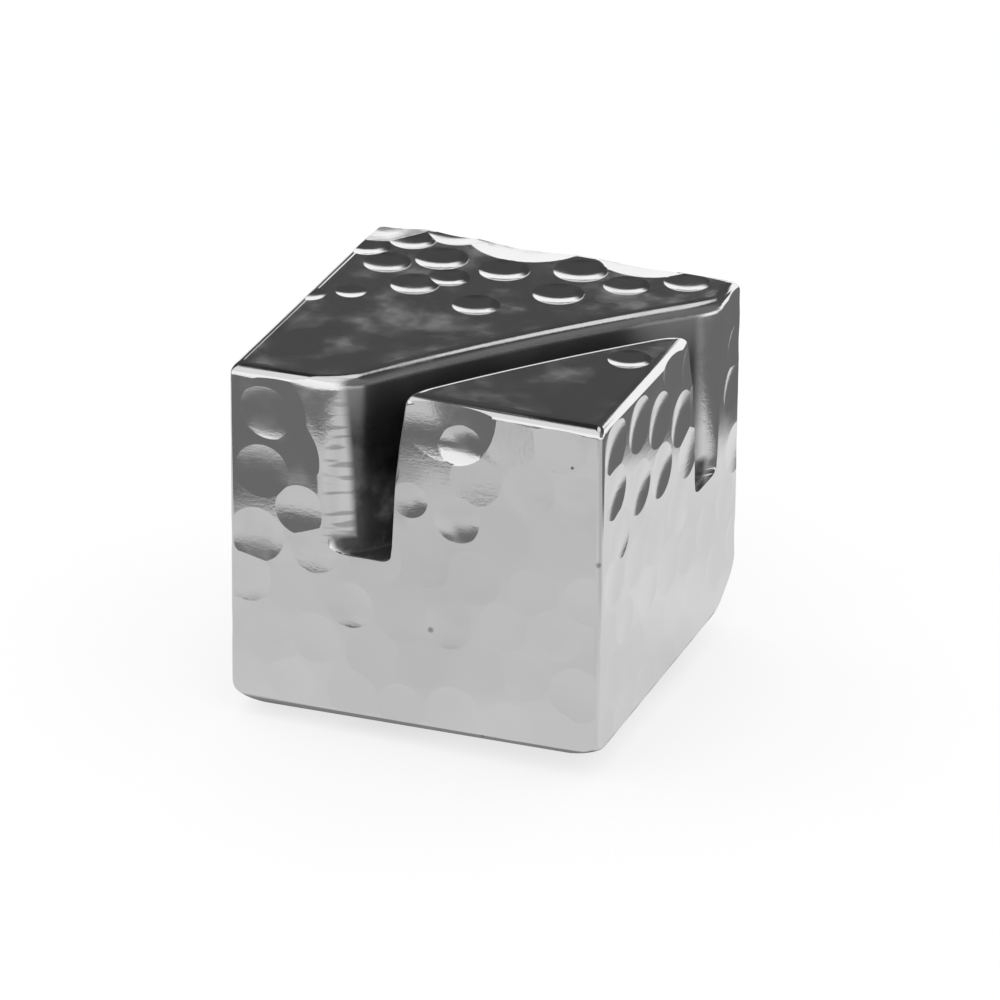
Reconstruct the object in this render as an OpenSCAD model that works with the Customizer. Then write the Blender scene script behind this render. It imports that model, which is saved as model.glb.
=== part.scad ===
// Place card holder: a cast and hammered metal block with a curved card slot, on a felt pad.
// Origin: centre of the footprint, on the surface it stands on. +Z up, front at -Y, +X to the right.

/* [Block] */
// Width of the block, left to right
block_w = 32.6; // [24:0.5:50]
// Depth of the block, front to back
block_d = 32; // [24:0.5:50]
// Height of the casting, from its ground base to its top
block_h = 31.2; // [24:0.2:45]
// Radius of the rounded edge around the top face
top_edge_r = 1; // [0.3:0.1:1.5]
// Radius of the four upright edges
upright_edge_r = 0.5; // [0.3:0.1:1.5]
// Radius of the rounded edge around the base
base_edge_r = 1.1; // [0.5:0.1:2]
// How far up the front corners the base is dressed round
front_corner_rise = 2; // [1.5:0.1:6]
// How far up the back corners the base is dressed round
back_corner_rise = 6; // [3:0.1:8]
// Plan radius of the front corners at the base
front_corner_r = 2.4; // [1.2:0.1:7]
// Plan radius of the back corners at the base
back_corner_r = 6; // [2:0.1:8]
// Rise of the crowned underside half a width away from its lowest point
base_crown = 0.75; // [0.2:0.05:1]
// How far to the left of the middle the underside is lowest
crown_left = 4.5; // [0:0.5:8]
// How far in front of the middle the underside is lowest
crown_front = 5; // [0:0.5:8]

/* [Card slot] */
// Where the slot's middle crosses the front face, from the left side
slot_front_x = 12.1; // [9:0.1:13.6]
// Where the slot's middle crosses the right face, from the front
slot_side_y = 24.2; // [20:0.1:25]
// Radius of the slot's bend in plan
slot_bend_r = 170; // [60:1:250]
// Depth of the slot from the top face
slot_depth = 15.4; // [8:0.1:18]
// Width of the slot at its floor
slot_floor_w = 2.9; // [2:0.1:3.6]
// Width of the slot at the top, below its dressed edges
slot_top_w = 4.1; // [3.8:0.1:5]
// Radius of the slot's dressed top edge on the large part
slot_dress_r = 1.2; // [0.6:0.1:1.8]
// Radius of the slot's dressed top edge on the small jaw
jaw_dress_r = 1; // [0.3:0.1:1.4]
// Radius of the corners along the slot's floor
slot_floor_r = 0.5; // [0.2:0.1:0.9]

/* [Slot mouths] */
// Plan radius of the front mouth's left edge
front_left_round = 2.4; // [0.5:0.1:3]
// Plan radius of the front mouth's right edge
front_right_round = 0.5; // [0.2:0.1:1.5]
// Plan radius of the right mouth's back edge
side_back_round = 0.6; // [0.2:0.1:1.5]
// Plan radius of the right mouth's front edge
side_front_round = 0.6; // [0.2:0.1:1.5]
// Extra width filed off the large part's front corner at the top
front_left_flare = 3.2; // [0:0.1:3.8]
// Extra width filed off the small jaw's front corner at the top
front_corner_flare = 1; // [0:0.1:2]
// Extra width filed off the small jaw's side corner at the top
side_corner_flare = 2.2; // [0:0.1:3.5]
// How far down from the top the filed corners reach
flare_reach = 8.5; // [3:0.5:12]
// How hollow the filed corners are, 1 for a straight slope
flare_bow = 1.6; // [1:0.1:3]
// How far each mouth's round runs into the block
mouth_run = 2.2; // [1:0.1:4]
// Height over which the mouths' rounds fade out at the slot's floor
mouth_fade_h = 2.5; // [1:0.1:5]

/* [Hammer marks] */
// Width of a hammer mark on a side face
mark_d = 4.6; // [3.5:0.1:5]
// Width of a hammer mark on the top face
top_mark_d = 4.2; // [3:0.1:4.5]
// Depth of a hammer mark
mark_depth = 0.2; // [0.05:0.01:0.35]
// Least distance from mark to mark on the side faces
mark_pitch = 5.4; // [5.2:0.1:8]
// How far a mark may stray from its place in the row
mark_stray = 0.3; // [0:0.05:0.5]

/* [Base pad] */
// Width and depth of the felt pad
pad_w = 23; // [18:0.5:24]
// Thickness of the felt pad
pad_t = 0.9; // [0.6:0.05:2]
// Corner radius of the felt pad
pad_corner_r = 3; // [1:0.1:6]
// Thickness of the adhesive film between the pad and the block
film_t = 0.15; // [0.05:0.01:0.3]
// Margin of the film inside the pad's edge
film_margin = 0.4; // [0.2:0.1:1]
// Depth of the recess that locates the pad
recess_depth = 0.5; // [0.3:0.05:0.7]
// Clearance around the pad in its recess
pad_clearance = 0.25; // [0.1:0.05:0.5]

/* [Hidden] */
// Cuts run past the faces they open by this much
overrun = 1;
// Steps in a rounded edge, in an upright corner and in the height of the dressed base corners
edge_steps = 5;
corner_steps = 5;
dress_steps = 4;
// Steps in the slot's floor corner, in its wall's height, along its bend and round a mouth
floor_steps = 2;
wall_steps = 5;
bend_steps = 12;
mouth_steps = 6;
// Sides of a hammer mark, and the seed of the marks' strays
mark_sides = 10;
mark_seed = 11;
// Radii of a mark's rings, as shares of its own: its bottom, its dished wall and its cutter's mouth
mark_ring_shares = [0.3, 0.7, 1, 1.3];
// Share of a column by which each row of marks is set over, one way and then the other
row_shift_share = 0.12;
// Share of its size by which a mark of the rows is larger or smaller
size_vary_share = 0.04;
// Depth of the rows' marks on the front, right, back and left face, as a share of the full depth
row_depth_shares = [0.6, 0.6, 1, 1];
// Share of the pitch within which a strong mark leaves no room for one of a row
clear_share = 0.9;
// Share of the base's reach up to which the underside is flat, around the pad's recess
flat_share = 0.8;
// Marks of the top: place from the middle in shares of the block's width and depth, then width and
// depth as shares of a mark's own. The last two are light taps, and the first is the beaten corner.
top_strikes = [
    [-0.5, 0.5, 2.4, 3.6], [-0.46, 0.32, 1, 1.5], [-0.37, 0.25, 1, 1.5], [-0.37, 0.41, 1, 1.5],
    [-0.25, 0.32, 1, 1.5], [-0.26, 0.15, 1, 1.5], [-0.19, 0.22, 1, 1.5], [-0.28, 0.48, 1, 1.5],
    [-0.08, 0.31, 1, 1.5], [-0.06, 0.08, 1, 1.5], [0.1, 0.23, 1, 1.5], [0.1, 0.38, 1, 1.5],
    [0.24, 0.35, 1, 1.5], [0.38, 0.43, 1, 1.5], [0.41, -0.07, 1, 1.5], [-0.14, 0.44, 1, 1.5],
    [-0.03, 0.46, 1, 1.5], [0.23, 0.48, 1, 1.5], [-0.48, -0.02, 0.65, 0.6], [-0.39, 0.03, 0.6, 0.6]
];
// Strong marks of the front and the right face: place from the lower left corner in shares of the
// face's width and height, then width and depth as shares of a mark's own
side_strikes = [
    [
        [0.14, 0.9, 1.5, 2], [0.09, 0.71, 1.05, 0.8], [0.09, 0.53, 1.05, 1], [0.2, 0.63, 1, 0.8],
        [0.06, 0.4, 1, 0.8], [0.63, 0.97, 0.95, 1.5], [0.57, 0.86, 1.2, 1.8], [0.62, 0.67, 0.8, 1.3],
        [0.5, 0.72, 0.85, 0.8]
    ],
    [
        [0.09, 0.91, 1.05, 1.2], [0.26, 0.9, 1.05, 1.2], [0.4, 0.85, 1.05, 1.2], [0.57, 0.78, 1.05, 1.2],
        [0.5, 0.97, 1.05, 1.2], [0.09, 0.78, 1.05, 1.1], [0.27, 0.72, 1.05, 1.1], [0.43, 0.69, 1.05, 1.1],
        [0.13, 0.64, 1.05, 1], [0.95, 0.96, 0.95, 1.1], [0.96, 0.84, 0.9, 1.1], [0.94, 0.73, 0.9, 1.1],
        [0.76, 0.56, 0.7, 1.5]
    ],
    [],
    []
];
$fn = 48;

// The block's base stands this far above the surface, on the pad
base_z = pad_t + film_t - recess_depth;
top_z = base_z + block_h;
slot_floor_z = top_z - slot_depth;

// The slot's middle line is an arc through these two points
front_point = [slot_front_x - block_w / 2, -block_d / 2];
side_point = [block_w / 2, slot_side_y - block_d / 2];
chord = side_point - front_point;
chord_unit = chord / norm(chord);
chord_normal = [chord_unit[1], -chord_unit[0]];
bend_centre = (front_point + side_point) / 2
    + chord_normal * sqrt(pow(slot_bend_r, 2) - pow(norm(chord) / 2, 2));

// Sideways growth of a quarter round that is tangent to a wall at reach, t from the wall's end
function quarter_growth(r, t, reach) =
    t >= reach ? 0 : t <= 0 ? r : r * (1 - sqrt(1 - pow(1 - t / reach, 2)));

// A solid skinned over a stack of rings with the same number of points, lowest first
module loft(rings) {
    n = len(rings[0]);
    last = len(rings) - 1;
    skin = [for (k = [0 : last - 1], i = [0 : n - 1]) each [
        [k * n + i, (k + 1) * n + i, (k + 1) * n + (i + 1) % n],
        [k * n + i, (k + 1) * n + (i + 1) % n, k * n + (i + 1) % n]
    ]];
    polyhedron(
        [for (ring = rings, p = ring) p],
        concat([[for (i = [0 : n - 1]) i]], skin, [[for (i = [n - 1 : -1 : 0]) last * n + i]])
    );
}

// Corner radius at a height above the base: full at the base, down to the upright edge's
function corner_radius(base_r, rise, h) =
    upright_edge_r + (base_r - upright_edge_r) * pow(1 - min(h / rise, 1), 2);

// Heights above the base at which the block is drawn: base edge, dressed corners, top edge
block_levels = concat(
    [for (i = [0 : edge_steps]) base_edge_r * (1 - cos(90 * i / edge_steps))],
    [for (i = [1 : dress_steps])
        base_edge_r + (back_corner_rise - base_edge_r) * i / dress_steps],
    [for (i = [0 : edge_steps]) block_h - top_edge_r * (1 - sin(90 * i / edge_steps))]
);

// How far the block's outline is drawn in at a height, round the base edge and the top edge
function outline_inset(h) =
    quarter_growth(base_edge_r, h, base_edge_r)
    + quarter_growth(top_edge_r, block_h - h, top_edge_r);

// Corners of the block in plan: the side each is on, and the angle at which its round starts
corners = [[1, -1, -90], [1, 1, 0], [-1, 1, 90], [-1, -1, 180]];

// How far the crowned underside rises at a point of the base's outline
function crown_rise(p) =
    base_crown * pow(norm(p + [crown_left, crown_front]) / (block_w / 2), 2);

// Outline of the block at a height above its base, with the crown of its underside in it
function block_ring(h) =
    [for (c = corners)
        let (
            r = c[1] < 0 ? corner_radius(front_corner_r, front_corner_rise, h)
                : corner_radius(back_corner_r, back_corner_rise, h),
            x = c[0] * (block_w / 2 - outline_inset(h) - r),
            y = c[1] * (block_d / 2 - outline_inset(h) - r)
        )
        for (i = [0 : corner_steps])
            let (
                a = c[2] + 90 * i / corner_steps,
                p = [x + r * cos(a), y + r * sin(a)]
            )
            [p[0], p[1], base_z + h + crown_rise(p) * (1 - min(h / back_corner_rise, 1))]];

// The solid block, with its rounded edges and its softly dressed base corners
module block_form() {
    flat = [for (p = block_ring(0)) [flat_share * p[0], flat_share * p[1], base_z]];
    loft(concat([flat], [for (h = block_levels) block_ring(h)]));
}

// Heights of the slot's sections above its floor: floor corner, drafted wall, dressed edge, overrun
slot_levels = concat(
    [for (i = [0 : floor_steps]) slot_floor_r * (1 - cos(90 * i / floor_steps))],
    [for (i = [1 : wall_steps])
        slot_floor_r + (slot_depth - slot_dress_r - slot_floor_r) * i / wall_steps],
    [for (i = [1 : edge_steps]) slot_depth - slot_dress_r * (1 - sin(90 * i / edge_steps))],
    [slot_depth + overrun]
);

// Half the slot's width at a height above its floor, towards the large part or the small jaw
function half_width(side, h) =
    let (dress_r = side > 0 ? slot_dress_r : jaw_dress_r)
    slot_floor_w / 2 + (slot_top_w - slot_floor_w) / 2 * h / slot_depth
    - quarter_growth(slot_floor_r, h, slot_floor_r)
    + quarter_growth(dress_r, slot_depth - h, dress_r);

// Round of a mouth's edge at a height: it fades out at the floor, and a filed corner adds to it
function mouth_round(round_r, flare, h) =
    round_r * (1 - quarter_growth(1, h, mouth_fade_h))
    + flare * pow(max(0, min(1, (h - slot_depth + flare_reach) / flare_reach)), flare_bow);

// Point of a wall, an arc of radius r, at a distance in from the front or from the right face
function wall_at_front(r, t) =
    let (y = -block_d / 2 + t)
    [bend_centre[0] - sqrt(pow(r, 2) - pow(y - bend_centre[1], 2)), y];
function wall_at_side(r, t) =
    let (x = block_w / 2 - t)
    [x, bend_centre[1] + sqrt(pow(r, 2) - pow(x - bend_centre[0], 2))];

// Direction of a point of a wall, seen from the centre of the bend
function wall_angle(p) = atan2(p[1] - bend_centre[1], p[0] - bend_centre[0]);

// Distances in from a face at which a mouth's round is drawn, the first one outside the block
mouth_places = concat([-overrun], [for (i = [0 : mouth_steps]) mouth_run * (1 - cos(90 * i / mouth_steps))]);

// One wall of the slot in plan, from outside the front face to outside the right face.
// side is 1 for the wall of the large part and -1 for the wall of the small jaw.
function wall_points(side, h) =
    let (
        r = slot_bend_r + side * half_width(side, h),
        front_round = side > 0 ? mouth_round(front_left_round, front_left_flare, h)
            : mouth_round(front_right_round, front_corner_flare, h),
        side_round = side > 0 ? mouth_round(side_back_round, 0, h)
            : mouth_round(side_front_round, side_corner_flare, h),
        from = wall_angle(wall_at_front(r, mouth_run)),
        to = wall_angle(wall_at_side(r, mouth_run))
    )
    concat(
        [for (t = mouth_places)
            wall_at_front(r, t) - [side * quarter_growth(front_round, t, mouth_run), 0]],
        [for (i = [1 : bend_steps - 1])
            let (a = from + (to - from) * i / bend_steps)
            bend_centre + r * [cos(a), sin(a)]],
        [for (i = [len(mouth_places) - 1 : -1 : 0])
            let (t = mouth_places[i])
            wall_at_side(r, t) + [0, side * quarter_growth(side_round, t, mouth_run)]]
    );

// The card slot: plan outlines stacked from the floor up, with mouths and top edges dressed round
module slot_cut() {
    loft([for (h = slot_levels)
        let (far = wall_points(1, h), near = wall_points(-1, h))
        concat(
            [for (p = near) [p[0], p[1], slot_floor_z + h]],
            [for (i = [len(far) - 1 : -1 : 0]) [far[i][0], far[i][1], slot_floor_z + h]]
        )]);
}

// A hammer mark at the origin, struck down the Z axis: a shallow dish with room above it
module hammer_mark(d, depth) {
    levels = [for (s = mark_ring_shares) depth * (pow(s, 2) - 1)];
    hull()
        for (i = [0 : len(levels) - 2])
            translate([0, 0, levels[i]])
                cylinder(
                    r1 = d / 2 * mark_ring_shares[i],
                    r2 = d / 2 * mark_ring_shares[i + 1],
                    h = levels[i + 1] - levels[i],
                    $fn = mark_sides
                );
}

// Rows of marks over a face that is wide by block_h, its lower left corner at the origin, facing +Z.
// The strays come from a fixed seed, and a strong mark keeps the room around it.
module mark_rows(wide, strong, depth, seed) {
    tall = block_h - base_edge_r - top_edge_r;
    columns = floor(wide / mark_pitch);
    rows = floor(tall / mark_pitch);
    stray = rands(-1, 1, 3 * columns * rows, seed);
    for (j = [0 : rows - 1], i = [0 : columns - 1]) {
        k = 3 * (j * columns + i);
        shift = j % 2 == 0 ? row_shift_share : -row_shift_share;
        place = [
            (i + 1 / 2 + shift) * wide / columns + mark_stray * stray[k],
            base_edge_r + (j + 1 / 2) * tall / rows + mark_stray * stray[k + 1]
        ];
        near = [for (m = strong)
            if (norm([m[0] * wide, m[1] * block_h] - place) < clear_share * mark_pitch) m];
        if (len(near) == 0)
            translate(place)
                hammer_mark(mark_d * (1 + size_vary_share * stray[k + 2]), depth);
    }
}

// Marks on the four side faces, each turned to its face: the strong ones, then the rows
module side_marks() {
    for (f = [0 : 3]) {
        wide = f % 2 == 0 ? block_w : block_d;
        out = f % 2 == 0 ? block_d : block_w;
        rotate([0, 0, 90 * f])
            translate([-wide / 2, -out / 2, base_z])
                rotate([90, 0, 0]) {
                    for (m = side_strikes[f])
                        translate([m[0] * wide, m[1] * block_h, 0])
                            hammer_mark(mark_d * m[2], mark_depth * m[3]);
                    mark_rows(wide, side_strikes[f], mark_depth * row_depth_shares[f], mark_seed + f);
                }
    }
}

// Marks on the top face, struck mostly on its back half
module top_marks() {
    for (m = top_strikes)
        translate([m[0] * block_w, m[1] * block_d, top_z])
            hammer_mark(top_mark_d * m[2], mark_depth * m[3]);
}

// Square with round corners, as the pad, the film and the recess are cut
module pad_outline(w, r, h) {
    linear_extrude(h)
        union() {
            square([w, w - 2 * r], center = true);
            square([w - 2 * r, w], center = true);
            for (x = [-1, 1], y = [-1, 1])
                translate([x * (w / 2 - r), y * (w / 2 - r)]) circle(r = r);
        }
}

// The casting: block form, crowned underside, slot with its mouths, and the pad's recess
module cast_block() {
    color("gainsboro")
        difference() {
            block_form();
            slot_cut();
            side_marks();
            top_marks();
            translate([0, 0, base_z - overrun])
                pad_outline(pad_w + 2 * pad_clearance, pad_corner_r + pad_clearance, recess_depth + overrun);
        }
}

// Pressure-sensitive film that holds the pad in its recess
module adhesive_film() {
    color("khaki")
        translate([0, 0, pad_t])
            pad_outline(pad_w - 2 * film_margin, pad_corner_r - film_margin, film_t);
}

// Felt pad that the block stands on
module felt_pad() {
    color("dimgray")
        pad_outline(pad_w, pad_corner_r, pad_t);
}

cast_block();
adhesive_film();
felt_pad();
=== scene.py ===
"""Place card holder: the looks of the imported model. Units are metres, +Z up, front at -Y."""
import math

import bpy
import numpy as np
from mathutils import Matrix, Vector


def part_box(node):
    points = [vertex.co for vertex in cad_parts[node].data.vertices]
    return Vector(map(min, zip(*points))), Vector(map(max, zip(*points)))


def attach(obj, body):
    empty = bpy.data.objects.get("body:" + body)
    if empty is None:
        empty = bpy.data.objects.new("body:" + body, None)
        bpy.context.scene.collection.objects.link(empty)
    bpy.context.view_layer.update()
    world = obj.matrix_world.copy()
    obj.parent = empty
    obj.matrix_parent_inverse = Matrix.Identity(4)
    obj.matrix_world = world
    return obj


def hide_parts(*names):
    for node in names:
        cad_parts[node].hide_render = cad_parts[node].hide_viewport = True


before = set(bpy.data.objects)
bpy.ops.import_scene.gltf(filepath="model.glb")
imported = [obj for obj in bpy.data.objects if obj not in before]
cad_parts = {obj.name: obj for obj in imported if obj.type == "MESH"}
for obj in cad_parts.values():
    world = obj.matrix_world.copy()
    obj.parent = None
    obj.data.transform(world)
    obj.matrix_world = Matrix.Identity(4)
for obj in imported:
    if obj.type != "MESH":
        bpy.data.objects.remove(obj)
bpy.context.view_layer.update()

# Cast block
# The holder itself, one casting in aluminium. Its faces are struck with a ball hammer and polished,
# the card slot is cut in a bend across the front right corner, and its edges are dressed by hand.
mm = 0.001
half_w, half_d, top_z = (float(v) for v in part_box("cast_block")[1])
base_z = 0.55 * mm
block_h = top_z - base_z
top_edge_r = 1.0 * mm
upright_edge_r = 0.5 * mm
base_edge_r = 1.1 * mm
front_corner_rise, front_corner_r = 2 * mm, 2.4 * mm
back_corner_rise, back_corner_r = 6 * mm, 6 * mm
base_crown, crown_left, crown_front = 0.75 * mm, 4.5 * mm, 5 * mm


def quarter_growth(r, t, reach):
    """Sideways growth of a quarter round of size r that starts tangent to a wall, reach from its end."""
    return r * (1 - math.sqrt(1 - (1 - min(max(t / reach, 0), 1)) ** 2))


def loft(name, rings):
    """A closed mesh skinned over a stack of rings with the same number of points."""
    count, last = len(rings[0]), len(rings) - 1
    faces = [list(range(count))[::-1]]
    for k in range(last):
        for i in range(count):
            j = (i + 1) % count
            faces.append([k * count + i, k * count + j, (k + 1) * count + j, (k + 1) * count + i])
    faces.append([last * count + i for i in range(count)])
    mesh = bpy.data.meshes.new(name)
    mesh.from_pydata([tuple(p) for ring in rings for p in ring], [], faces)
    mesh.update()
    return bpy.data.objects.new(name, mesh)


def corner_radius(base_r, rise, h):
    """Plan radius of a corner: full at the base, down to the upright edge's."""
    return upright_edge_r + (base_r - upright_edge_r) * (1 - min(h / rise, 1)) ** 2


def block_ring(h, share=1, corner_steps=8):
    """Outline of the block at a height above its base. A share under 1 gives the flat of the underside."""
    inset = quarter_growth(base_edge_r, h, base_edge_r) + quarter_growth(top_edge_r, block_h - h, top_edge_r)
    ring = []
    for side_x, side_y, start in ((1, -1, -90), (1, 1, 0), (-1, 1, 90), (-1, -1, 180)):
        if side_y < 0:
            r = corner_radius(front_corner_r, front_corner_rise, h)
        else:
            r = corner_radius(back_corner_r, back_corner_rise, h)
        for i in range(corner_steps + 1):
            a = math.radians(start + 90 * i / corner_steps)
            x = side_x * (half_w - inset - r) + r * math.cos(a)
            y = side_y * (half_d - inset - r) + r * math.sin(a)
            crown = base_crown * ((x + crown_left) ** 2 + (y + crown_front) ** 2) / half_w**2
            crown *= (1 - min(h / back_corner_rise, 1)) if share == 1 else 0
            ring.append((share * x, share * y, base_z + h + crown))
    return ring


edge_steps, rise_steps = 8, 12
flat_share = 0.8
quarter = [math.pi / 2 * i / edge_steps for i in range(edge_steps + 1)]
levels = [base_edge_r * (1 - math.cos(a)) for a in quarter]
levels += [base_edge_r + (back_corner_rise - base_edge_r) * (i + 1) / rise_steps for i in range(rise_steps)]
levels += [block_h - top_edge_r * (1 - math.sin(a)) for a in quarter]
block_form = loft("block_form", [block_ring(0, flat_share)] + [block_ring(h) for h in levels])

# Card slot
# Cut down from the top in a bend from the front face to the right face, a little wider at the top
# than at its floor. Its top edges and the upright edges of both mouths are filed round.
slot_front = Vector((12.1 * mm - half_w, -half_d))
slot_side = Vector((half_w, 24.2 * mm - half_d))
bend_r = 170 * mm
slot_depth, slot_floor_w, slot_top_w = 15.4 * mm, 2.9 * mm, 4.1 * mm
slot_dress_r, jaw_dress_r, slot_floor_r = 1.2 * mm, 1 * mm, 0.5 * mm
mouth_run, mouth_fade_h = 2.2 * mm, 1.2 * mm
flare_reach, flare_bow = 8.5 * mm, 1.6
overrun = 1 * mm
# Rounds of the mouths: the large part's front and side edge, then the jaw's, each with its filed flare
far_rounds = ((2.4 * mm, 3.2 * mm), (0.6 * mm, 0))
jaw_rounds = ((0.5 * mm, 1 * mm), (0.6 * mm, 2.2 * mm))
chord = slot_side - slot_front
bend_centre = (slot_front + slot_side) / 2 + Vector((chord.y, -chord.x)).normalized() * math.sqrt(
    bend_r**2 - (chord.length / 2) ** 2
)


def half_width(side, h):
    """Half the slot's width at a height above its floor. side is -1 for the jaw's wall."""
    dress_r = slot_dress_r if side > 0 else jaw_dress_r
    return (
        slot_floor_w / 2
        + (slot_top_w - slot_floor_w) / 2 * h / slot_depth
        - quarter_growth(slot_floor_r, h, slot_floor_r)
        + quarter_growth(dress_r, slot_depth - h, dress_r)
    )


def mouth_round(round_r, flare, h):
    """Round of a mouth's edge at a height: it fades out at the floor, and the filed flare adds to it."""
    reach = min(max((h - slot_depth + flare_reach) / flare_reach, 0), 1)
    return round_r * (1 - quarter_growth(1, h, mouth_fade_h)) + flare * reach**flare_bow


def wall_points(side, h, mouth_steps=12, bend_steps=48):
    """One wall in plan, from outside the front face to outside the right face. side is -1 for the jaw's."""
    r = bend_r + side * half_width(side, h)
    front, back = (mouth_round(*pair, h) for pair in (far_rounds if side > 0 else jaw_rounds))
    places = [-overrun]
    places += [mouth_run * (1 - math.cos(math.pi / 2 * i / mouth_steps)) for i in range(mouth_steps + 1)]

    def at_front(t):
        y = -half_d + t
        return Vector((bend_centre.x - math.sqrt(r * r - (y - bend_centre.y) ** 2), y))

    def at_side(t):
        x = half_w - t
        return Vector((x, bend_centre.y + math.sqrt(r * r - (x - bend_centre.x) ** 2)))

    def angle(p):
        return math.atan2(p.y - bend_centre.y, p.x - bend_centre.x)

    first, last = angle(at_front(mouth_run)), angle(at_side(mouth_run))
    turns = [first + (last - first) * i / bend_steps for i in range(1, bend_steps)]
    return (
        [at_front(t) - Vector((side * quarter_growth(front, t, mouth_run), 0)) for t in places]
        + [bend_centre + r * Vector((math.cos(a), math.sin(a))) for a in turns]
        + [at_side(t) + Vector((0, side * quarter_growth(back, t, mouth_run))) for t in reversed(places)]
    )


floor_steps, wall_steps = 5, 14
slot_levels = [slot_floor_r * (1 - math.cos(math.pi / 2 * i / floor_steps)) for i in range(floor_steps + 1)]
wall_h = slot_depth - slot_dress_r - slot_floor_r
slot_levels += [slot_floor_r + wall_h * (i + 1) / wall_steps for i in range(wall_steps)]
slot_levels += [slot_depth - slot_dress_r * (1 - math.sin(a)) for a in quarter[1:]] + [slot_depth + overrun]
slot_cutter = loft(
    "slot_cutter",
    [
        [(p.x, p.y, top_z - slot_depth + h) for p in wall_points(-1, h) + wall_points(1, h)[::-1]]
        for h in slot_levels
    ],
)

# Hammer marks
# Shallow round dishes left by the ball of the hammer: close together on the back of the top face,
# in rough rows on the sides. Each one is a cut with a ball, so neighbours meet in a crisp ridge.
strikes = []


def strike(face, across, up, wide, depth):
    """One mark, in millimetres: its place from the face's lower left corner, its width and its depth."""
    if face == "top":
        place, out = Vector((across * mm - half_w, up * mm - half_d, top_z)), Vector((0, 0, 1))
    else:
        degrees = {"front": 0, "right": 90, "back": 180, "left": -90}[face]
        turn = Matrix.Rotation(math.radians(degrees), 3, "Z")
        half_face, away = (half_w, half_d) if face in ("front", "back") else (half_d, half_w)
        place = turn @ Vector((across * mm - half_face, -away, up * mm))
        out = turn @ Vector((0, -1, 0))
    strikes.append((place, out, wide * mm, depth * mm))


# The top: struck on its back half, with one mark on the jaw
top_depth_share = 0.08
for across, up, wide in (
    (1.3, 26.3, 4), (4.1, 23.7, 4.2), (4.3, 28.9, 4.1), (8.0, 26.2, 4.7), (7.9, 20.5, 4.3),
    (10.0, 22.8, 3.6), (7.3, 31.7, 5.4), (13.7, 26.0, 4.5), (14.2, 18.5, 4), (19.6, 23.3, 4.5),
    (19.6, 28.4, 4.8), (24.2, 27.0, 3.9), (28.6, 29.6, 3.9), (29.7, 13.4, 3.6),
):
    strike("top", across, up, wide, top_depth_share * wide)
# Two light taps at the left edge, the beaten back left corner, and two wide hollows in the back edge
for top_mark in (
    (0.6, 15.3, 2.8, 0.12), (3.6, 17.1, 2.6, 0.12), (0, 32, 10, 0.75), (13.2, 33.6, 11.4, 0.68),
    (23.8, 33.8, 9.8, 0.5),
):
    strike("top", *top_mark)
# The faces that are seen: the strong marks one by one, and light ones in rough rows between them
strong = {
    "front": (
        (4.4, 28.8, 6.2, 0.12), (3.6, 28.2, 5.2, 0.2), (2.9, 22.6, 4.8, 0.1), (2.4, 16.8, 4.9, 0.14),
        (6.3, 19.7, 4.5, 0.11), (1.6, 12.9, 4.6, 0.12), (19.2, 30.6, 8.6, 0.31), (20.0, 28.7, 5.1, 0.34),
        (20.1, 21.4, 4.2, 0.16), (15.9, 22.4, 3.2, 0.08),
    ),
    "right": (
        (2.9, 29.0, 4.9, 0.24), (8.3, 28.6, 4.9, 0.24), (12.9, 27.0, 4.9, 0.24), (18.1, 24.9, 4.9, 0.24),
        (16.0, 30.8, 4.9, 0.24), (3.0, 24.9, 4.8, 0.22), (8.6, 22.9, 4.8, 0.22), (13.6, 22.2, 4.8, 0.22),
        (4.1, 20.5, 4.8, 0.2), (30.5, 30.2, 4.3, 0.22), (30.8, 26.2, 4.1, 0.2), (30.1, 22.7, 4.1, 0.2),
        (24.4, 18.0, 3.2, 0.3),
    ),
    "back": (),
    "left": (),
}
rows = np.random.default_rng(11)
columns_n, rows_n = 7, 7
row_long, rows_from, rows_tall = 32.3, 1.6, 29.8
row_shift, place_stray, wide_stray, depth_stray = 0.24, 0.5, 0.5, 0.3
light_wide, clear_share = 4.6, 0.38
light_depth = {"front": 0.13, "right": 0.13, "back": 0.2, "left": 0.2}


def polished_away(face, across, up):
    """Share of a light mark's depth that is left: the front is ground flatter towards its top right."""
    if face != "front":
        return 1
    if across > 15 and up > 17:
        return 0.3
    return 0.55 if up > 12 else 1.15


for face, marks in strong.items():
    for mark in marks:
        strike(face, *mark)
    for j in range(rows_n):
        for i in range(columns_n):
            stray = [float(v) for v in rows.uniform(-1, 1, 4)]
            shift = row_shift if j % 2 else -row_shift
            across = (i + 0.5 + shift) * row_long / columns_n + place_stray * stray[0]
            up = rows_from + (j + 0.5) * rows_tall / rows_n + place_stray * stray[1]
            near = [
                math.hypot(across - mark[0], up - mark[1]) <= clear_share * (mark[2] + light_wide)
                for mark in marks
            ]
            if not any(near):
                depth = light_depth[face] * polished_away(face, across, up) * (1 + depth_stray * stray[3])
                strike(face, across, up, light_wide + wide_stray * stray[2], depth)


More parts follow.
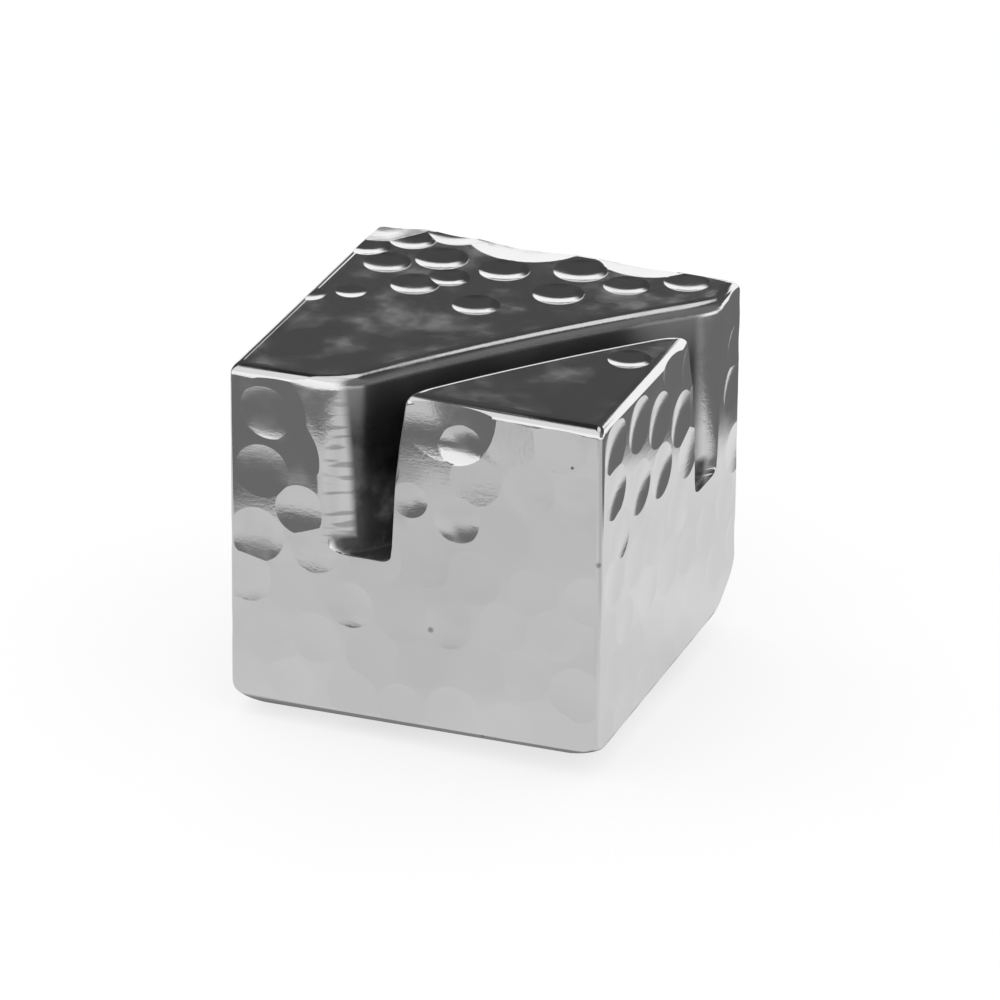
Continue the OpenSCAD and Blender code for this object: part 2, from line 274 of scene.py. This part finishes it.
def ball_cutter(place, out, wide, depth, sides=28, rings=6, past_rim=1.35):
    """Vertices and faces of a lens that cuts one mark, and the centre and radius of its ball."""
    ball_r = ((wide / 2) ** 2 + depth**2) / (2 * depth)
    centre = place + out * (ball_r - depth)
    turn = out.to_track_quat("Z", "Y").to_matrix()
    reach = math.asin(wide / 2 / ball_r) * past_rim
    points = [centre - ball_r * out]
    for k in range(1, rings + 1):
        tilt = reach * k / rings
        for i in range(sides):
            a = 2 * math.pi * (i + 0.5 * (k % 2)) / sides
            way = Vector((math.sin(tilt) * math.cos(a), math.sin(tilt) * math.sin(a), -math.cos(tilt)))
            points.append(centre + ball_r * (turn @ way))
    faces = [[0, 1 + (i + 1) % sides, 1 + i] for i in range(sides)]
    for k in range(rings - 1):
        a, b = 1 + k * sides, 1 + (k + 1) * sides
        for i in range(sides):
            j = (i + 1) % sides
            if k % 2 == 0:
                faces += [[a + i, a + j, b + j], [a + i, b + j, b + i]]
            else:
                faces += [[a + i, a + j, b + i], [a + j, b + j, b + i]]
    faces.append([1 + (rings - 1) * sides + i for i in range(sides)])
    return points, faces, centre, ball_r


# Marks that don't touch share a cutter, so the cuts take a few passes and not one for each mark
apart_share = 0.75
batches = []
for mark in strikes:
    for batch in batches:
        if all((mark[0] - other[0]).length > apart_share * (mark[2] + other[2]) for other in batch):
            batch.append(mark)
            break
    else:
        batches.append([mark])
cutters = []
balls = []
for number, batch in enumerate(batches):
    points, faces = [], []
    for place, out, wide, depth in batch:
        lens_points, lens_faces, centre, ball_r = ball_cutter(place, out, wide, depth)
        faces += [[len(points) + i for i in face] for face in lens_faces]
        points += lens_points
        balls.append((*centre, ball_r))
    mesh = bpy.data.meshes.new(f"marks_{number}")
    mesh.from_pydata([tuple(p) for p in points], [], faces)
    mesh.update()
    cutters.append(bpy.data.objects.new(f"marks_{number}", mesh))
balls = np.array(balls)


def inputs_of(tree, **sockets):
    """Adds named inputs to a node tree and gives the node that carries them."""
    for name, kind in sockets.items():
        tree.interface.new_socket(name, in_out="INPUT", socket_type=kind)
    return tree.nodes.new("NodeGroupInput")


bench = bpy.data.collections.new("cutters")
for cutter in [slot_cutter] + cutters:
    bench.objects.link(cutter)
tree = bpy.data.node_groups.new("cut_the_block", "GeometryNodeTree")
given = inputs_of(
    tree, Block="NodeSocketGeometry", Cutters="NodeSocketCollection", Metal="NodeSocketMaterial"
)
tree.interface.new_socket("Block", in_out="OUTPUT", socket_type="NodeSocketGeometry")
tools = tree.nodes.new("GeometryNodeCollectionInfo")
tools.inputs["Separate Children"].default_value = True
cut = tree.nodes.new("GeometryNodeMeshBoolean")
cut.operation, cut.solver = "DIFFERENCE", "MANIFOLD"
real = tree.nodes.new("GeometryNodeRealizeInstances")
coat = tree.nodes.new("GeometryNodeSetMaterial")
done = tree.nodes.new("NodeGroupOutput")
for a, b in (
    (given.outputs["Block"], cut.inputs["Mesh 1"]),
    (given.outputs["Cutters"], tools.inputs["Collection"]),
    (tools.outputs["Instances"], cut.inputs["Mesh 2"]),
    (cut.outputs["Mesh"], real.inputs["Geometry"]),
    (real.outputs["Geometry"], coat.inputs["Geometry"]),
    (given.outputs["Metal"], coat.inputs["Material"]),
    (coat.outputs["Geometry"], done.inputs["Block"]),
):
    tree.links.new(a, b)


class Flow:
    """A value that runs through a node tree. Arithmetic on it adds Math nodes, node() any other kind."""

    def __init__(self, tree, out=None):
        self.tree, self.out = tree, out

    def node(self, kind, settings, sockets, out=0):
        """Adds a node: its settings first, then the values or links of its sockets."""
        made = self.tree.nodes.new(kind)
        for name, value in settings.items():
            setattr(made, name, value)
        for name, value in sockets.items():
            if isinstance(value, Flow):
                self.tree.links.new(value.out, made.inputs[name])
            else:
                made.inputs[name].default_value = value
        return Flow(self.tree, made.outputs[out])

    def maths(self, operation, *values):
        """A Math node on these values."""
        return self.node("ShaderNodeMath", {"operation": operation}, dict(enumerate(values)))

    def __add__(self, other):
        return self.maths("ADD", self, other)

    def __sub__(self, other):
        return self.maths("SUBTRACT", self, other)

    def __rsub__(self, other):
        return self.maths("SUBTRACT", other, self)

    def __mul__(self, other):
        return self.maths("MULTIPLY", self, other)

    def __abs__(self):
        return self.maths("ABSOLUTE", self)

    __radd__, __rmul__ = __add__, __mul__

    def or_more(self, other):
        """The larger of the two."""
        return self.maths("MAXIMUM", self, other)

    def step(self, low, high):
        """0 below low and 1 above high, smooth between them; the other way round where low is the larger."""
        return self.node(
            "ShaderNodeMapRange",
            {"interpolation_type": "SMOOTHSTEP"},
            {"Value": self, "From Min": low, "From Max": high},
        )

    def mix(self, low, high):
        """low where this value is 0 and high where it is 1; both are numbers or both are colours."""
        if isinstance(low, (int, float)) or isinstance(high, (int, float)):
            return low + self * (high - low)
        return self.node(
            "ShaderNodeMix", {"data_type": "RGBA"}, {"Factor": self, 6: low, 7: high}, out=2
        )


def grey(level):
    """A neutral colour."""
    return (level, level, level, 1)


def new_material(name):
    """A new material, its empty tree as a Flow, and its output node."""
    material = bpy.data.materials.new(name)
    material.use_nodes = True
    material.node_tree.nodes.clear()
    return material, Flow(material.node_tree), material.node_tree.nodes.new("ShaderNodeOutputMaterial")


def noise(place, scale, detail, roughness):
    """A noise over the surface, with values about 0.5."""
    return place.node(
        "ShaderNodeTexNoise", {}, {"Vector": place, "Scale": scale, "Detail": detail, "Roughness": roughness}
    )


# Cast aluminium, polished: fine scratches in two directions, small casting pits, and dull clouds
metal, flow, end = new_material("hammered_metal")
place = flow.node("ShaderNodeTexCoord", {}, {}, out="Object")
side, fore, height = (flow.node("ShaderNodeSeparateXYZ", {}, {"Vector": place}, out=k) for k in (0, 1, 2))
streak = noise(place, 160, 4, 0.6)
scratches = []
for turn, stretch in (((0.3, 0.2, 0.7), (1, 14, 5)), ((0.9, -0.4, -0.5), (9, 1, 12))):
    turned = flow.node("ShaderNodeMapping", {}, {"Vector": place, "Rotation": turn, "Scale": stretch})
    scratches.append(noise(turned, 420, 3, 0.65))
skin = 0.5 * scratches[0] + 0.5 * scratches[1]
pits = flow.node("ShaderNodeTexVoronoi", {}, {"Vector": place, "Scale": 620, "Randomness": 1})
pitted = pits.step(0.1, 0.05) * streak.step(0.58, 0.68)
dull = noise(place, 190, 3, 0.55).step(0.45, 0.75)
lift = flow.node(
    "ShaderNodeBump",
    {},
    {"Strength": 0.13, "Distance": 0.06 * mm, "Height": skin - 0.6 * pitted + 0.8 * streak},
)

# Inside the slot the polishing mop doesn't reach: the cast skin is dull and darker there, very dark in
# patches, and lighter deeper down. A step's two lengths are where its mask begins and where it is full.
below_top, above_floor = top_z - height, height - (top_z - slot_depth)
from_front, from_left, from_right = fore + half_d, side + half_w, half_w - side
from_centre = flow.node("ShaderNodeVectorMath", {"operation": "SUBTRACT"}, {0: place, 1: (*bend_centre, 0)})
plan = flow.node("ShaderNodeVectorMath", {"operation": "MULTIPLY"}, {0: from_centre, 1: (1, 1, 0)})
off_middle = abs(flow.node("ShaderNodeVectorMath", {"operation": "LENGTH"}, {0: plan}, out=1) - bend_r)
slot_walls = (
    off_middle.step(3.6 * mm, 3.2 * mm)
    * below_top.step(0.5 * mm, 1.2 * mm)
    * from_front.step(0.8 * mm, 1.3 * mm)
    * from_right.step(0.8 * mm, 1.8 * mm)
)
slot_floor = (
    off_middle.step(5.2 * mm, 4.6 * mm)
    * above_floor.step(2 * mm, 1.1 * mm)
    * above_floor.step(-0.3 * mm, -0.1 * mm)
    * from_front.step(0.05 * mm, 0.3 * mm)
    * from_right.step(0.3 * mm, 0.9 * mm)
)
unpolished = slot_walls.or_more(slot_floor)
deep = below_top.step(8 * mm, 13 * mm)
# Very dark in patches; elsewhere lighter deeper down towards the slot's floor
slot_tone = streak.step(0.4, 0.62).mix(grey(0.07), deep.mix(grey(0.16), grey(0.5)))

# Two dark specks in the casting, on the front face and on the edge beside it
specks = 0
for spot in ((1.5 * mm, -half_d, 11 * mm), (half_w - 0.2 * mm, -half_d, 19.6 * mm)):
    away = flow.node("ShaderNodeVectorMath", {"operation": "DISTANCE"}, {0: place, 1: spot}, out=1)
    specks = specks + away.step(0.36 * mm, 0.12 * mm)
# Marks of the file across the round of the front mouth's left edge
drawn_out = flow.node("ShaderNodeMapping", {}, {"Vector": place, "Scale": (0.15, 0.15, 1)})
file_marks = (
    noise(drawn_out, 1700, 1, 0.4).step(0.52, 0.62)
    * from_left.step(8 * mm, 9 * mm)
    * from_left.step(11 * mm, 10.4 * mm)
    * from_front.step(2.5 * mm, 1.2 * mm)
    * below_top.step(1.5 * mm, 3 * mm)
    * above_floor.step(0, 1 * mm)
)
blemished = pitted.or_more((0.75 * specks).or_more(0.6 * file_marks))
# The beaten corner at the back left has kept its cast skin, duller and darker than the rest
from_corner = flow.node(
    "ShaderNodeVectorMath", {"operation": "DISTANCE"}, {0: place, 1: (-half_w, half_d, top_z)}, out=1
)
beaten = from_corner.step(5.2 * mm, 4 * mm) * streak.step(0.3, 0.55)
shader = flow.node(
    "ShaderNodeBsdfPrincipled",
    {},
    {
        "Metallic": 1 - unpolished * deep.mix(0.06, 0.65),
        "Base Color": unpolished.mix(
            blemished.or_more(0.9 * beaten).mix(grey(0.88), grey(0.3)),
            below_top.step(1 * mm, 6 * mm).mix(grey(0.3), slot_tone),
        ),
        "Roughness": 0.05 + 0.14 * dull + 0.06 * skin + 0.2 * pitted + 0.26 * unpolished + 0.25 * beaten,
        "Normal": lift,
    },
)
metal.node_tree.links.new(shader.out, end.inputs["Surface"])

cutting = block_form.modifiers.new("cut_the_block", "NODES")
cutting.node_group = tree
sockets = {item.name: item.identifier for item in tree.interface.items_tree if item.in_out == "INPUT"}
cutting[sockets["Cutters"]] = bench
cutting[sockets["Metal"]] = metal
bpy.context.scene.collection.objects.link(block_form)
bpy.context.view_layer.update()
cast_mesh = bpy.data.meshes.new_from_object(block_form.evaluated_get(bpy.context.evaluated_depsgraph_get()))
for cutter in [slot_cutter, block_form] + cutters:
    bpy.data.objects.remove(cutter)
bpy.data.collections.remove(bench)

# The dishes shade as true balls and the flats as true planes, so a polished face mirrors cleanly
count = {name: len(getattr(cast_mesh, name)) for name in ("vertices", "loops", "polygons", "edges")}
points = np.empty(3 * count["vertices"])
cast_mesh.vertices.foreach_get("co", points)
points = points.reshape(-1, 3)
corner_point, corner_edge = np.empty(count["loops"], int), np.empty(count["loops"], int)
cast_mesh.loops.foreach_get("vertex_index", corner_point)
cast_mesh.loops.foreach_get("edge_index", corner_edge)
first, length = np.empty(count["polygons"], int), np.empty(count["polygons"], int)
cast_mesh.polygons.foreach_get("loop_start", first)
cast_mesh.polygons.foreach_get("loop_total", length)
facing = np.empty(3 * count["polygons"])
cast_mesh.polygons.foreach_get("normal", facing)
facing = facing.reshape(-1, 3)
corner_face = np.repeat(np.arange(count["polygons"]), length)

# A face belongs to a ball if all its points lie on it and it faces the ball's centre
on_ball_gap, ball_lean, flat_lean, crease = 0.005 * mm, math.radians(6), math.radians(20), math.radians(32)
parallel, elsewhere = 0.99999, 1e3
gap = np.linalg.norm(points[:, None, :] - balls[None, :, :3], axis=2) - balls[None, :, 3]
on_ball = np.logical_and.reduceat(np.abs(gap[corner_point]) < on_ball_gap, first, axis=0)
nearest = np.abs(gap[corner_point[first]] + elsewhere * ~on_ball).argmin(1)
ball_of = np.where(on_ball.any(1), nearest, -1)
inward = balls[ball_of, :3] - points[corner_point[first]]
inward /= np.linalg.norm(inward, axis=1, keepdims=True)
ball_of[(inward * facing).sum(1) < math.cos(ball_lean)] = -1
axes = np.vstack([np.eye(3), -np.eye(3)])
flat_of = np.where((facing @ axes.T > parallel).any(1), (facing @ axes.T).argmax(1), -1)

# An edge is sharp where it is a crease, or where a dish ends
edge_low, edge_high = np.full(count["edges"], len(balls)), np.full(count["edges"], -1)
np.minimum.at(edge_low, corner_edge, ball_of[corner_face])
np.maximum.at(edge_high, corner_edge, ball_of[corner_face])
cast_mesh.polygons.foreach_set("use_smooth", np.ones(count["polygons"], bool))
cast_mesh.set_sharp_from_angle(angle=crease)
sharp = cast_mesh.attributes.get("sharp_edge") or cast_mesh.attributes.new("sharp_edge", "BOOLEAN", "EDGE")
creased = np.empty(count["edges"], bool)
sharp.data.foreach_get("value", creased)
sharp.data.foreach_set("value", creased | (edge_low != edge_high))
normals = np.empty(3 * count["loops"])
cast_mesh.corner_normals.foreach_get("vector", normals)
normals = normals.reshape(-1, 3)
for k, axis in enumerate(axes):
    touched = np.zeros(count["vertices"], bool)
    touched[corner_point[flat_of[corner_face] == k]] = True
    taken = touched[corner_point] & (facing[corner_face] @ axis > math.cos(flat_lean))
    normals[taken] = axis
dished = ball_of[corner_face] >= 0
toward = balls[ball_of[corner_face][dished], :3] - points[corner_point[dished]]
normals[dished] = toward / np.linalg.norm(toward, axis=1, keepdims=True)
cast_mesh.normals_split_custom_set(normals.tolist())
cast_block = bpy.data.objects.new("cast_block_polished", cast_mesh)
bpy.context.scene.collection.objects.link(cast_block)
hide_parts("cast_block")
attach(cast_block, "root")

# Felt pad and its adhesive film
# A square of pressed wool felt in a recess of the underside, held by a thin film of adhesive.
felt, flow, end = new_material("pressed_felt")
place = flow.node("ShaderNodeTexCoord", {}, {}, out="Object")
fibre, tuft = noise(place, 2600, 5, 0.7), noise(place, 500, 2, 0.5)
shader = flow.node(
    "ShaderNodeBsdfPrincipled",
    {},
    {
        "Base Color": fibre.mix((0.03, 0.03, 0.035, 1), (0.13, 0.13, 0.14, 1)),
        "Roughness": 0.85 + 0.1 * tuft,
        "Normal": flow.node(
            "ShaderNodeBump", {}, {"Strength": 0.6, "Distance": 0.1 * mm, "Height": fibre + 0.5 * tuft}
        ),
        "Sheen Weight": 0.35,
    },
)
felt.node_tree.links.new(shader.out, end.inputs["Surface"])
adhesive, flow, end = new_material("adhesive_film")
place = flow.node("ShaderNodeTexCoord", {}, {}, out="Object")
bubbles = noise(place, 900, 2, 0.5)
shader = flow.node(
    "ShaderNodeBsdfPrincipled",
    {},
    {
        "Base Color": bubbles.mix((0.55, 0.5, 0.36, 1), (0.66, 0.61, 0.46, 1)),
        "Roughness": 0.4 + 0.2 * bubbles,
    },
)
adhesive.node_tree.links.new(shader.out, end.inputs["Surface"])
for node, material in (("felt_pad", felt), ("adhesive_film", adhesive)):
    mesh = bpy.data.objects[node].data
    mesh.materials.clear()
    mesh.materials.append(material)

# Studio: a pale floor that runs out to white, and a soft light
# The metal mirrors the room around it: light and dark parts of the floor, a white horizon and a
# dark ceiling. Only glossy rays see them, and the camera sees a floor lit to white with a shadow.
# The floor's light and dark parts are painted light and painted shade, in the floor's own glow.
pale, flow, end = new_material("pale_floor")
camera_ray, glossy_ray = (
    flow.node("ShaderNodeLightPath", {}, {}, out=name) for name in ("Is Camera Ray", "Is Glossy Ray")
)
place = flow.node("ShaderNodeTexCoord", {}, {}, out="Object")
across, back = (flow.node("ShaderNodeSeparateXYZ", {}, {"Vector": place}, out=k) for k in (0, 1))
# The light part ends behind the block on the right. Dark parts lie in front of it on the left, with
# a jog in their edge, farther in front, and faintly at its right.
light_part = (0.78 * across + 0.62 * back).step(57 * mm, 53 * mm)
slant = 0.92 * across - 0.39 * back
jog = slant.step(3 * mm, 6 * mm) * 6.5 * mm
dark_left = (0.55 * across + 0.83 * back + jog).step(-59 * mm, -61 * mm)
dark_left = dark_left * slant.step(14.5 * mm, 12.5 * mm)
dark_front = (0.37 * across + 0.93 * back).step(-86 * mm, -92 * mm) * across.step(-60 * mm, -40 * mm)
dark_right = across.step(45 * mm, 55 * mm) * back.step(-3 * mm, -12 * mm)
lit = light_part * (1 - dark_left) * (1 - dark_front) * (1 - 0.25 * dark_right)
unevenness = noise(place, 45, 1.5, 0.5)
light_level = back.step(-50 * mm, 50 * mm).mix(0.57, 0.73) * (0.8 + 0.4 * unevenness)
# Far off it is white all round, but not behind the block on the left
from_block = flow.maths("SQRT", across * across + back * back)
far_off = back.step(-20 * mm, 20 * mm).mix(
    from_block.step(130 * mm, 165 * mm), from_block.step(280 * mm, 360 * mm)
)
behind_left = back.step(0, 40 * mm) * (across + 0.5 * back).step(5 * mm, -5 * mm)
# Painted shadow: the floor that the metal mirrors is painted dim right under the block's edges
clear_of_painted_shadow = abs(across).or_more(abs(back)).step(15.6 * mm, 16.8 * mm)
glow = (0.35 + 0.65 * clear_of_painted_shadow) * (far_off * (1 - behind_left)).mix(lit.mix(0.15, light_level), 0.95)
mirrored = flow.node("ShaderNodeEmission", {}, {"Color": grey(1), "Strength": glow})
camera_floor = flow.node(
    "ShaderNodeAddShader",
    {},
    {
        0: flow.node("ShaderNodeEmission", {}, {"Color": grey(1), "Strength": 0.7}),
        1: flow.node("ShaderNodeBsdfDiffuse", {}, {"Color": grey(0.32)}),
    },
)
plain = flow.node("ShaderNodeBsdfDiffuse", {}, {"Color": grey(0.8)})
others = flow.node("ShaderNodeMixShader", {}, {0: glossy_ray, 1: plain, 2: mirrored})
shader = flow.node("ShaderNodeMixShader", {}, {0: camera_ray, 1: others, 2: camera_floor})
pale.node_tree.links.new(shader.out, end.inputs["Surface"])
span = 4
floor_mesh = bpy.data.meshes.new("floor")
floor_mesh.from_pydata(
    [(-span, -span, 0), (span, -span, 0), (span, span, 0), (-span, span, 0)], [], [(0, 1, 2, 3)]
)
floor_mesh.materials.append(pale)
floor = bpy.data.objects.new("floor", floor_mesh)
bpy.context.scene.collection.objects.link(floor)

# The walls and the ceiling that the metal mirrors. For rays that aren't glossy, all is plain white.
world = bpy.data.worlds.new("studio")
bpy.context.scene.world = world
world.use_nodes = True
world.node_tree.nodes.clear()
flow = Flow(world.node_tree)
end = world.node_tree.nodes.new("ShaderNodeOutputWorld")
glossy_ray = flow.node("ShaderNodeLightPath", {}, {}, out="Is Glossy Ray")
way = flow.node("ShaderNodeTexCoord", {}, {}, out="Generated")
side, depth, rise = (flow.node("ShaderNodeSeparateXYZ", {}, {"Vector": way}, out=k) for k in (0, 1, 2))
# Behind the block: a white wall, highest a little to the right, with dusk above it and at the left
wall_top = rise - side.step(-0.1, 0.2).mix(0.0, 0.14) + side.step(0.42, 0.5).mix(0.0, 0.2)
back_light = wall_top.step(0.31, 0.37).mix(1.0, 0.062) * rise.step(0.95, 0.75).mix(0.3, 1.0)
back_light = side.step(-0.5, -0.45).mix(0.05, back_light)
# In front of it: a white wall, greyer higher up and dark at the right, under a dark ceiling
front_wall = side.step(0.35, 0.6).mix(
    rise.step(0.2, 0.35).mix(1.0, 0.78), rise.step(0.0, 0.1).mix(0.8, 0.15)
)
front_light = rise.step(0.92, 0.8).mix(0.02, front_wall)
room = depth.step(0.1, -0.1).mix(back_light, front_light)
ceiling_lamp = rise.step(0.86, 0.89) * side.step(0, 0.1)
room = ceiling_lamp.mix(room, 0.75)
light = flow.node("ShaderNodeBackground", {}, {"Color": grey(1), "Strength": glossy_ray.mix(1.0, room)})
world.node_tree.links.new(light.out, end.inputs["Surface"])

# Camera
# A long lens, a little to the right of the front and looking down. Distances are in widths of 32 mm.
around, lean, roll = math.radians(21.61), math.radians(25.62), math.radians(0.53)
unit, camera_away, focal_length, film = 32 * mm, 20.59, 7.9498, 36
aim_drop, shift_right, shift_down, shift_across = 0.463, 0.025, 0.041, 0.3 * mm
to_camera = Vector((math.sin(around) * math.cos(lean), -math.cos(around) * math.cos(lean), math.sin(lean)))
right = Vector((math.cos(around), math.sin(around), 0))
up = to_camera.cross(right)
side_axis = math.cos(roll) * right + math.sin(roll) * up
up_axis = math.cos(roll) * up - math.sin(roll) * right
aim = Vector((shift_across, 0, top_z - aim_drop * unit)) + unit * (shift_right * right - shift_down * up)
lens = bpy.data.cameras.new("camera")
lens.sensor_width, lens.lens = film, film * focal_length
lens.clip_start, lens.clip_end = 0.01, 20
camera = bpy.data.objects.new("camera", lens)
camera.matrix_world = Matrix.Translation(aim + camera_away * unit * to_camera) @ Matrix(
    (side_axis, up_axis, to_camera)
).transposed().to_4x4()
bpy.context.scene.collection.objects.link(camera)
bpy.context.scene.camera = camera
bpy.context.scene.view_settings.view_transform = "Standard"
